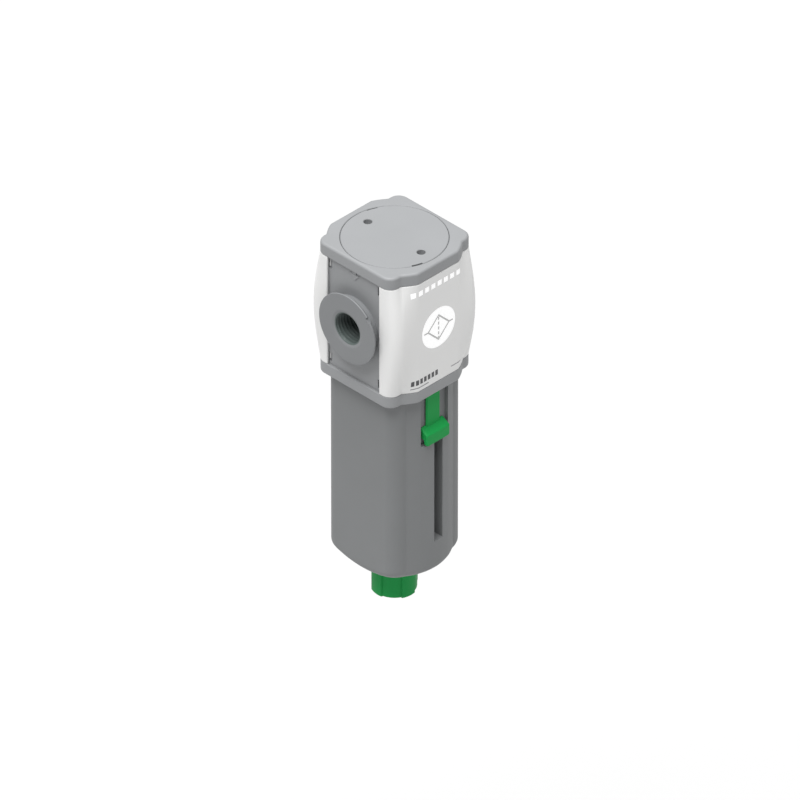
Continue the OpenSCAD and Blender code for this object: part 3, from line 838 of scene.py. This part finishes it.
class FILTER_OT_covers(bpy.types.Operator):
    """Front and rear covers: barrel-cornered shells with hooks, clipped round the core"""

    bl_idname = "filter.covers"
    bl_label = "Covers"

    def execute(self, context):
        look = context.scene.filter_covers
        finish = printed_cover("cover white", look.colour)
        for side, node in ((-1, "front_cover"), (1, "rear_cover")):
            skin = self.shell(look, side)
            for x in (-1, 1):
                for z in (-1, 1):
                    mid_z = z * sum(HOOK_Z) / 2
                    skin.block(sorted(x * edge for edge in COVER_HOOK_X),
                               sorted(side * edge for edge in COVER_HOOK_Y),
                               (mid_z - COVER_HOOK_HALF_Z, mid_z + COVER_HOOK_HALF_Z), 0.2, 0.15)
            make_piece(f"{node}_shell", skin, node, "head", finish, rim=look.rim)
        return {"FINISHED"}

    def shell(self, look, side):
        """Outer and inner skins of a cover.

        At each height the outline is part way from a square with small corners, at mid height, to the
        end plate's nosed outline, at the ends, by the square of the height's share of the half height.
        """
        wall = look.front_wall / MM
        corner = look.corner / MM
        reach_out = np.degrees(np.arctan2(COVER_EDGE_Y, PLATE_HALF_X))
        reach_in = np.degrees(np.arctan2(COVER_EDGE_Y, PLATE_HALF_X - COVER_SIDE_WALL))
        share = np.linspace(-1, 1, 113)
        outer = np.radians(90 + share * (90 - reach_out))
        inner = np.radians(90 + share * (90 - reach_in))
        height = np.linspace(-COVER_HALF_Z, COVER_HALF_Z, 25)
        blend = (height / COVER_HALF_Z)[:, None] ** 2
        inner_x, inner_y = PLATE_HALF_X - COVER_SIDE_WALL, PLATE_HALF_Y - wall
        inner_nose_r = 3.2
        outside = (rounded_reach(outer, PLATE_HALF_X, PLATE_HALF_Y, corner) * (1 - blend)
                   + plate_reach(outer) * blend)
        inside = (rounded_reach(inner, inner_x, inner_y, corner - 1) * (1 - blend)
                  + bowed_reach(inner, inner_x, inner_y, PLATE_NOSE_Y - COVER_SIDE_WALL,
                                inner_nose_r, PLATE_BOW_R - wall) * blend)

        def lay(reach, turn):
            level = np.broadcast_to(height[:, None], reach.shape)
            return np.stack([reach * np.cos(turn), side * reach * np.sin(turn), level], -1)

        skin = Skin()
        rows = np.concatenate([lay(outside, outer), lay(inside, inner)[::-1]])
        numbers = skin.grid(rows, wrap_rows=True, wrap_columns=False)
        back = numbers[::-1]
        for column in (0, -1):
            half = len(height)
            edge = np.stack([numbers[:half - 1, column], numbers[1:half, column],
                             back[1:half, column], back[:half - 1, column]], -1)
            skin.faces += edge.tolist()
        return skin


class FILTER_OT_top_plug(bpy.types.Operator):
    """Top plug: flush disc with two spanner holes, two edge slits and a grooved spigot"""

    bl_idname = "filter.top_plug"
    bl_label = "Top plug"

    def execute(self, context):
        look = context.scene.filter_head
        hole_sweep = 9
        slit_sweep = 6.3
        marks = edge_angles(SPANNER_ANGLES, hole_sweep)
        marks += edge_angles(PLUG_SLITS, slit_sweep, (0, STEP_SWEEP))
        angle = angles_round(-45, 240, marks)
        slit = np.where(in_any(angle, PLUG_SLITS, slit_sweep + 0.01), HEAD_TOP - 1.2, HEAD_TOP)
        edge = np.minimum(slit, HEAD_TOP - 0.2)
        rows = [(0, 23), (11.5, 23), (11.5, 16), (13.9, 16), (13.9, 18), (12.5, 18), (12.5, 20), (13.9, 20)]
        rows += [(13.9, PLUG_SEAT_Z), (PLUG_R, PLUG_SEAT_Z), (PLUG_R, edge), (PLUG_R - 0.2, slit)]
        rows += [(18, slit), (18, HEAD_TOP)]
        hole_rows = (len(rows), len(rows) + 4)
        rows += [(SPANNER_PITCH + step, HEAD_TOP) for step in (2.1, 1, 0, -1, -2.1)]
        rows += [(0, HEAD_TOP)]
        windows = [(*hole_rows, nearest(angle, a - hole_sweep), nearest(angle, a + hole_sweep))
                   for a in SPANNER_ANGLES]
        skin = Skin()
        numbers = skin.grid(upright_grid(angle, rows), windows=windows)
        for window, side in zip(windows, (1, -1)):
            loop = skin.window_edge(numbers, window)
            centre = np.array([0, side * SPANNER_PITCH, 0])
            offset = skin.points[loop] - centre
            around = even_turn(np.arctan2(offset[:, 1], offset[:, 0]))
            rings = [(SPANNER_R + 0.2, HEAD_TOP), (SPANNER_R, HEAD_TOP - 0.2)]
            rings += [(SPANNER_R, SPANNER_FLOOR_Z)]
            skin.carry_on(loop, [circle_points(around, r, z) + centre for r, z in rings])
        make_piece("top_disc", skin, "top_plug", "head",
                   moulded_polymer("plug grey", look.colour))
        return {"FINISHED"}


class FILTER_OT_port_inserts(bpy.types.Operator):
    """Port inserts: coupling flange with a rim notch, grooved seat and a cut pipe thread"""

    bl_idname = "filter.port_inserts"
    bl_label = "Port inserts"

    def execute(self, context):
        look = context.scene.filter_head
        # The inserts' bores are painted darker: painted shade of the holes
        finish = moulded_polymer("insert grey", look.insert_colour, bore_shade_colour=look.bore_shade_colour)
        for side, node in ((-1, "inlet_insert"), (1, "outlet_insert")):
            make_piece(f"{node}_threaded", self.insert(side), node, "head", finish, 28)
        return {"FINISHED"}

    def insert(self, side):
        """Closed ring turned about the port axis.

        In the bore the radius swings between the thread's crest and root with the fraction of a turn
        left after the depth over the pitch, less the angle over a full turn, so the turns climb as a
        right-hand helix.
        """
        crest_r, root_r, pitch = 5.7, 6.6, 1.337
        notch_half = 4.3
        angle = angles_round(0, 144, edge_angles([NOTCH_ANGLE], notch_half, (0, 0.06)))
        depth = np.linspace(INSERT_LENGTH, 0.6, 79)
        phase = depth[:, None] / pitch + side * angle / FULL_TURN
        swing = abs((phase % 1) * 2 - 1)
        flank = np.clip((swing - 0.15) / 0.7, 0, 1)
        fade = np.clip(np.minimum(INSERT_LENGTH - depth, depth - 0.5) / 0.9, 0, 1)[:, None]
        thread = crest_r + (root_r - crest_r) * flank * fade
        notch = within(angle, NOTCH_ANGLE, notch_half + 0.01)

        def rim(radius):
            return np.where(notch, np.minimum(radius, 12.6), radius)

        rows = [(thread[i], depth[i]) for i in range(len(depth))]
        rows += [(5.85, 0.5), (6.3, 0.35), (7.0, 0), (7.3, 0), (12.0, 0), (rim(FLANGE_R - 0.2), 0)]
        rows += [(rim(FLANGE_R - 0.06), 0.06), (rim(FLANGE_R), 0.2), (rim(FLANGE_R), 0.5)]
        rows += [(rim(FLANGE_R - 0.1), 0.65), (FLANGE_R - 0.9, FLANGE_T), (11.5, FLANGE_T)]
        rows += [(11.3, FLANGE_T + 0.2)]
        seat_start = PORT_FACE - CORE_HALF_X
        rows += [(11.3, seat_start), (8.6, seat_start), (8.6, 6.8), (7.2, 6.8), (7.2, 8.8), (8.6, 8.8)]
        rows += [(8.6, INSERT_LENGTH)]
        up, across, inward = np.moveaxis(upright_grid(angle, rows), -1, 0)
        skin = Skin()
        skin.grid(np.stack([side * (PORT_FACE - inward), -across, up], -1), wrap_rows=True)
        return skin


class FILTER_OT_guard(bpy.types.Operator):
    """Bowl guard: bowed square tube with a dome, latch channel, spring pocket and sight slot"""

    bl_idname = "filter.guard"
    bl_label = "Bowl guard"

    def execute(self, context):
        look = context.scene.filter_guard
        lip, wall_step = 0.25, 0.04
        front_x = [-7.6, -CHANNEL_HALF - lip, -CHANNEL_HALF - wall_step, -CHANNEL_HALF, -4,
                   -SPRING_POCKET_HALF, SLOT_X[0], 0.9, SPRING_POCKET_HALF, SLOT_X[1], 5,
                   CHANNEL_HALF, CHANNEL_HALF + wall_step, CHANNEL_HALF + lip, 7.6]
        front = np.degrees(np.arcsin(np.array(front_x) / GUARD_BOW_R))
        lug_edges = edge_angles([a + 90 for a in LUG_ANGLES], LUG_HALF_SWEEP, (-0.5, -0.45))
        away = angles_round(-180, 288, lug_edges)
        away = away[abs(away) > front[-1] + 0.5]
        swing = np.sort(np.concatenate([away, front]))
        turn = np.radians(swing - 90)
        x_front = np.where(abs(swing) < 90, GUARD_BOW_R * np.sin(np.radians(swing)), np.inf)
        in_channel = abs(x_front) <= CHANNEL_HALF + 0.01
        bore_edge = np.degrees(np.arcsin(front_x[-1] / GUARD_BORE_R))
        straight = np.degrees(np.arcsin(np.clip(x_front / GUARD_BORE_R, -1, 1)))
        spread = np.sign(swing) * np.interp(abs(swing), [front[-1], 180], [bore_edge, 180])
        bore_swing = np.where(abs(swing) <= front[-1] + TINY, straight, spread)
        bore_turn = np.radians(bore_swing - 90)
        lug = in_any(swing - 90, LUG_ANGLES, LUG_HALF_SWEEP - 0.49)

        def ring(reach, z, bore=False, channel=False):
            """Row of points at a reach and height, with the latch channel cut to its floor if asked."""
            heading = bore_turn if bore else turn
            points = np.stack(np.broadcast_arrays(
                reach * np.cos(heading), reach * np.sin(heading), z), -1).astype(float)
            if channel:
                points[in_channel, 0] = x_front[in_channel]
                points[in_channel, 1] = CHANNEL_Y
            return points

        rows = [ring(GUARD_BORE_R, -18.6, bore=True), ring(15.8, -18.6), ring(15.8, -22)]
        rows += [ring(np.where(lug, 17.2, 15.8), -22), ring(np.where(lug, 17.2, 15.8), -24.4)]
        rows += [ring(15.8, -24.4), ring(15.8, GUARD_TOP)]
        rows += [ring(guard_reach(turn, i), GUARD_TOP - d, channel=True) for i, d in fillet(0.45, 3)]
        pocket_row = len(rows)
        rows += [ring(guard_reach(turn), z, channel=True) for z in SPRING_POCKET_Z]
        slot_row = len(rows)
        rows += [ring(guard_reach(turn), z, channel=True) for z in (SLOT_Z[0], CHANNEL_END)]
        sill = np.where(in_channel, lip, 0)
        rows += [ring(guard_reach(turn) - sill, CHANNEL_END), ring(guard_reach(turn), CHANNEL_END - lip)]
        lower = [-54, -62, -70, -78, -84, SLOT_Z[1]]
        rows += [ring(guard_reach(turn), z) for z in lower]
        slot_end = len(rows) - 1
        slot_heights = [SLOT_Z[0], CHANNEL_END, CHANNEL_END, CHANNEL_END - lip, *lower]
        rows += [ring(guard_reach(turn), SLOT_Z[1] - 2)]

        size = look.bottom_fillet / MM
        corner_z = dome_z(guard_reach(turn), DOME_R)
        inset = guard_reach(turn, size)
        inset_z = dome_z(inset, DOME_R)
        for t in np.linspace(0, 1, 6):
            reach = (1 - t * t) * guard_reach(turn) + t * t * inset
            z = (1 - t) ** 2 * (corner_z + size) + 2 * t * (1 - t) * corner_z + t * t * inset_z
            rows.append(ring(reach, z))
        rim_round = 0.35
        for t in (0.3, 0.6, 0.85, 1):
            reach = inset * (1 - t) + (GUARD_HOLE_R + rim_round) * t
            rows.append(ring(reach, dome_z(reach, DOME_R)))
        rim_z = dome_z(GUARD_HOLE_R + rim_round, DOME_R)
        rows += [ring(GUARD_HOLE_R + 0.1, rim_z + 0.12), ring(GUARD_HOLE_R, rim_z + 0.4)]
        inner_r = DOME_R - GUARD_WALL
        for reach in (GUARD_HOLE_R, 11.5, GUARD_BORE_R):
            rows.append(ring(reach, dome_z(reach, inner_r), bore=True))
        bore_start = len(rows)
        rows += [ring(GUARD_BORE_R, z, bore=True) for z in slot_heights[::-1]]
        bore_end = len(rows) - 1

        slot_columns = [nearest(x_front, x) for x in SLOT_X]
        pocket_columns = [nearest(x_front, x) for x in (-SPRING_POCKET_HALF, SPRING_POCKET_HALF)]
        outside = (slot_row, slot_end, *slot_columns)
        inside = (bore_start, bore_end, *slot_columns)
        pocket = (pocket_row, pocket_row + 1, *pocket_columns)
        skin = Skin()
        numbers = skin.grid(np.stack(rows), wrap_rows=True, windows=(outside, inside, pocket))
        left, right = slot_columns
        outer_loop = skin.window_edge(numbers, outside)
        inner_loop = np.concatenate([
            numbers[bore_end, left:right], numbers[bore_end:bore_start:-1, right],
            numbers[bore_start, right:left:-1], numbers[bore_start:bore_end, left]])
        if slot_end - slot_row != bore_end - bore_start:
            raise RuntimeError("the sight slot's two edges do not match")
        skin.strip(outer_loop, inner_loop)
        loop = skin.window_edge(numbers, pocket)
        skin.carry_on(loop, [skin.points[loop] + [0, SPRING_POCKET_DEPTH, 0]])
        make_piece("guard_shell", skin, "bowl_guard", "bowl_unit",
                   moulded_polymer("guard grey", look.colour, 8e-6, 0.55))
        return {"FINISHED"}


class FILTER_OT_bowl(bpy.types.Operator):
    """Clear bowl: necked and flanged tube with a domed floor and a drain hole"""

    bl_idname = "filter.bowl"
    bl_label = "Bowl"

    def execute(self, context):
        look = context.scene.filter_guard
        angle = angles_round(0, 128)
        dome_gap = 3.5
        dome, inner_dome = DOME_R - dome_gap, DOME_R - dome_gap - GUARD_WALL
        base_z, floor_z = -101.5, -99
        base_r = np.sqrt(dome**2 - (base_z - DOME_CENTRE) ** 2)
        floor_r = np.sqrt(inner_dome**2 - (floor_z - DOME_CENTRE) ** 2)
        rows = [(12.4, -11.6), (14.4, -11.6), (14.6, -11.8), (14.6, -13.2), (13.25, -13.2), (13.25, -15.2)]
        rows += [(14.6, -15.2), (14.6, -17.1), (15.4, -17.1), (15.6, -17.3), (15.6, -18.4), (15.4, -18.6)]
        rows += [(14, -18.6), (14, -60), (14, dome_z(14, dome) + 0.5), (13.7, dome_z(13.7, dome))]
        rows += [(r, dome_z(r, dome)) for r in (12.5, 11.2)]
        rows += [(base_r, base_z), (4.3, base_z), (4.0, base_z + 0.3), (4.0, floor_z - 0.2), (4.2, floor_z)]
        rows += [(floor_r, floor_z), (11.8, dome_z(11.8, inner_dome)), (12.2, dome_z(12.2, inner_dome) + 0.5)]
        rows += [(12.2, -60), (12.2, -12)]
        skin = Skin()
        skin.grid(upright_grid(angle, rows), wrap_rows=True)
        make_piece("clear_bowl", skin, "bowl", "bowl_unit",
                   clear_polycarbonate("bowl polycarbonate", look.bowl_tint))
        return {"FINISHED"}


class FILTER_OT_latch(bpy.types.Operator):
    """Latch: strip with a tongue, a push-down button over the guard and a spring foot"""

    bl_idname = "filter.latch"
    bl_label = "Latch"

    def execute(self, context):
        look = context.scene.filter_controls
        skin = Skin()
        strip = ((-3.35, 3.35), (-18.8, -17.9), (-45.1, -24.8), 0.2, 0.2)
        foot_neck = ((-0.9, 0.9), (-18, -15.95), (-31, -29.8), 0.1, 0.1)
        foot = ((-1.9, 1.9), (-16.8, -15.9), (-31, -29.8), 0.1, 0.1)
        button_root = ((-5.4, 5.4), (-20, -17.9), (-45.2, -44), 0.3, 0.2)
        for limits in (strip, foot_neck, foot, button_root):
            skin.block(*limits)
        self.add_button(skin, look.button_round / MM)
        make_piece("latch_slider", skin, "latch", "latch",
                   moulded_polymer("latch green", look.colour, 3e-6, 0.45, 0.1))
        return {"FINISHED"}

    def add_button(self, skin, corner):
        """Button pad: rounded rectangles from its back, along its depth, to a flat front.

        The lower edge of the back follows the guard's bow, and the top edge falls towards the front in
        proportion to the depth. Triangles to one point behind it close the back.
        """
        turn = np.radians(angles_round(0, 96))
        half_x, half_z, middle_z, front_y = 5.5, 3.35, -44.15, -PLATE_HALF_Y
        top_y, fall, root_z = -17.9, 2.2, -45.2

        def outline(inset, y):
            reach = rounded_reach(turn, half_x - inset, half_z - inset, max(corner - inset, 0.1))
            x, z = reach * np.cos(turn), reach * np.sin(turn) + middle_z
            bow = np.where(z < root_z, -np.sqrt((GUARD_BOW_R + 0.3) ** 2 - x**2), top_y)
            y = np.minimum(bow, y)
            drop = fall * (top_y - y) / (top_y - front_y)
            level = np.where(z > root_z, root_z + (z - root_z) * (1 - drop / (middle_z + half_z - root_z)), z)
            return np.stack([x, y, level], -1)

        rings = [outline(0.15, top_y)]
        rings += [outline(0, y) for y in (top_y - 0.2, -19, -20, -20.6)]
        rings += [outline(i, front_y + d) for i, d in fillet(0.45)[::-1]]
        numbers = skin.grid(np.stack(rings))
        skin.fan(numbers[0], [0, top_y, middle_z + 1])
        skin.fan(numbers[-1])


class FILTER_OT_knob(bpy.types.Operator):
    """Drain knob: cupped body with four grip pads and a two-start cam inside"""

    bl_idname = "filter.knob"
    bl_label = "Drain knob"

    def execute(self, context):
        look = context.scene.filter_controls
        flank = 0.9
        angle = angles_round(0, 180, edge_angles(PAD_ANGLES, PAD_HALF_SWEEP, (-flank, 0, flank)))
        nearest_pad = np.min([abs((angle - a + 180) % FULL_TURN - 180) for a in PAD_ANGLES], axis=0)
        rise = np.clip((PAD_HALF_SWEEP + flank - nearest_pad) / (2 * flank), 0, 1)
        body = KNOB_R - look.pad_height / MM * (1 - rise)
        cam = self.cam(angle)
        rows = [(3.96, -112.2), (3.96, cam), (5.2, cam), (5.2, -107), (6.7, -107)]
        rows += [(6.7, KNOB_TOP - 0.2), (6.9, KNOB_TOP)]
        rows += [(body - i, KNOB_TOP - d) for i, d in fillet(0.4, 3)]
        rows += [(body - i, KNOB_BASE + d) for i, d in fillet(0.7, 4)[::-1]]
        rows += [(6.8, KNOB_BASE), (6.5, KNOB_BASE + 0.3), (6.5, -112.2)]
        skin = Skin()
        skin.grid(upright_grid(angle, rows), wrap_rows=True)
        make_piece("knob_shell", skin, "drain_knob", "drain_knob",
                   moulded_polymer("knob green", look.colour, 3e-6, 0.45, 0.1))
        return {"FINISHED"}

    def cam(self, angle):
        """Height of the cam floor: two like ramps half a turn apart.

        Each stands at its full lift where it starts and falls straight to the floor where it ends.
        """
        floor_z, lift, start, end = -111.15, 1.2, 15, 77
        along = angle % 180
        share = (along - start) / (end - start)
        return floor_z + lift * np.clip(1 - share, 0, 1) * (along > start) * (along < end)


class FILTER_OT_inner_parts(bpy.types.Operator):
    """Finishes for the seals, springs, filter insert and drain parts inside"""

    bl_idname = "filter.inner_parts"
    bl_label = "Inner parts"

    def execute(self, context):
        finishes = {
            "seal_rubber": nitrile_rubber("nitrile rubber"),
            "spring_steel": drawn_steel("spring steel"),
            "brass_nut": turned_brass("turned brass"),
            "sintered_element": sintered_polymer("sintered element"),
            "natural_plastic": natural_acetal("natural acetal"),
        }
        for part in frame["record"]["subparts"]:
            finish = finishes.get(part["material_slot"])
            if finish is None:
                continue
            mesh = frame["nodes"][part["node"]].data
            mesh.materials.clear()
            mesh.materials.append(finish)
        return {"FINISHED"}


class FILTER_OT_studio(bpy.types.Operator):
    """Pale floor, soft sun, even sky and the camera"""

    bl_idname = "filter.studio"
    bl_label = "Studio"

    def execute(self, context):
        look = context.scene.filter_studio
        staged = [self.floor(), self.camera(context, look), self.key_light(context, look)]
        world = bpy.data.worlds.new("Even sky")
        world.use_nodes = True
        sky = world.node_tree.nodes["Background"]
        sky.inputs["Color"].default_value = (1, 1, 1, 1)
        sky.inputs["Strength"].default_value = look.sky
        context.scene.world = world
        context.scene.view_settings.view_transform = "Standard"
        return {"FINISHED"}

    def floor(self):
        """Wide square well below the knob, as a grid of whole steps from corner to corner."""
        reach = np.linspace(-6, 6, 13)
        x, y = np.meshgrid(reach, reach)
        level = np.full(x.shape, CAD_BOX[0][2] - FLOOR_DROP * MM)
        skin = Skin()
        skin.grid(np.stack([x, y, level], -1), wrap_columns=False)
        mesh = bpy.data.meshes.new("Floor")
        mesh.from_pydata(skin.points.tolist(), [], skin.faces)
        finish = Finish("floor paint")
        paint = finish.noise(3, 2.0)
        mesh.materials.append(finish.close(
            Base_Color=finish.tint(paint, (0.52, 0.52, 0.52, 1), (0.54, 0.54, 0.54, 1)),
            Roughness=0.9,
            Specular_IOR_Level=0.1))
        floor = bpy.data.objects.new("Floor", mesh)
        bpy.context.scene.collection.objects.link(floor)
        return floor

    def key_light(self, context, look):
        """Soft sun over the inlet side and the front."""
        lamp = bpy.data.lights.new("Key light", "SUN")
        lamp.energy = look.key_strength
        lamp.angle = look.key_spread
        holder = bpy.data.objects.new("Key light", lamp)
        context.scene.collection.objects.link(holder)
        self.face(holder, look.key_heading)
        return holder

    def face(self, holder, back):
        """Turns a light or camera so that it looks against the direction it stands in."""
        direction = Vector(back)
        holder.rotation_mode = "QUATERNION"
        holder.rotation_quaternion = (-direction).to_track_quat("-Z", "Y")

    def camera(self, context, look):
        """Camera over the inlet-side front corner, at the height from which all three axes look equal."""
        tilt = np.arcsin(np.tan(np.radians(30)))
        heading = np.radians(-45)
        back = np.array([np.sin(heading) * np.cos(tilt), -np.cos(heading) * np.cos(tilt), np.sin(tilt)])
        lens = bpy.data.cameras.new("Camera")
        lens.lens = look.lens
        lens.sensor_width = 36
        lens.clip_start = 0.1
        lens.clip_end = 40
        holder = bpy.data.objects.new("Camera", lens)
        context.scene.collection.objects.link(holder)
        aim = np.array([AXIS_X - 12.33, -14.97, -27.3]) * MM
        holder.location = aim + back * look.lens * look.view_width / lens.sensor_width
        self.face(holder, back)
        context.scene.camera = holder
        return holder


# ---------- panel and registration ----------

BUILD_STEPS = (
    FILTER_OT_head, FILTER_OT_covers, FILTER_OT_top_plug, FILTER_OT_port_inserts, FILTER_OT_guard,
    FILTER_OT_bowl, FILTER_OT_latch, FILTER_OT_knob, FILTER_OT_inner_parts, FILTER_OT_studio,
)

LOOKS = {
    "filter_head": HeadLook,
    "filter_covers": CoverLook,
    "filter_guard": GuardLook,
    "filter_controls": ControlLook,
    "filter_studio": StudioLook,
}


class FILTER_PT_panel(bpy.types.Panel):
    """Sizes, colours and build steps of the air filter"""

    bl_label = "Air Filter"
    bl_idname = "FILTER_PT_panel"
    bl_space_type = "VIEW_3D"
    bl_region_type = "UI"
    bl_category = "Air Filter"

    def draw(self, context):
        for name, look in LOOKS.items():
            box = self.layout.box()
            settings = getattr(context.scene, name)
            for field in look.__annotations__:
                box.prop(settings, field)
        for step in BUILD_STEPS:
            self.layout.operator(step.bl_idname)


def register():
    for kind in (*LOOKS.values(), *BUILD_STEPS, FILTER_PT_panel):
        bpy.utils.register_class(kind)
    for name, look in LOOKS.items():
        setattr(bpy.types.Scene, name, bpy.props.PointerProperty(type=look))


def unregister():
    for name in LOOKS:
        delattr(bpy.types.Scene, name)
    for kind in reversed((*LOOKS.values(), *BUILD_STEPS, FILTER_PT_panel)):
        bpy.utils.unregister_class(kind)


def main():
    register()
    for step in BUILD_STEPS:
        group, name = step.bl_idname.split(".")
        getattr(getattr(bpy.ops, group), name)()


if __name__ == "__main__":
    main()
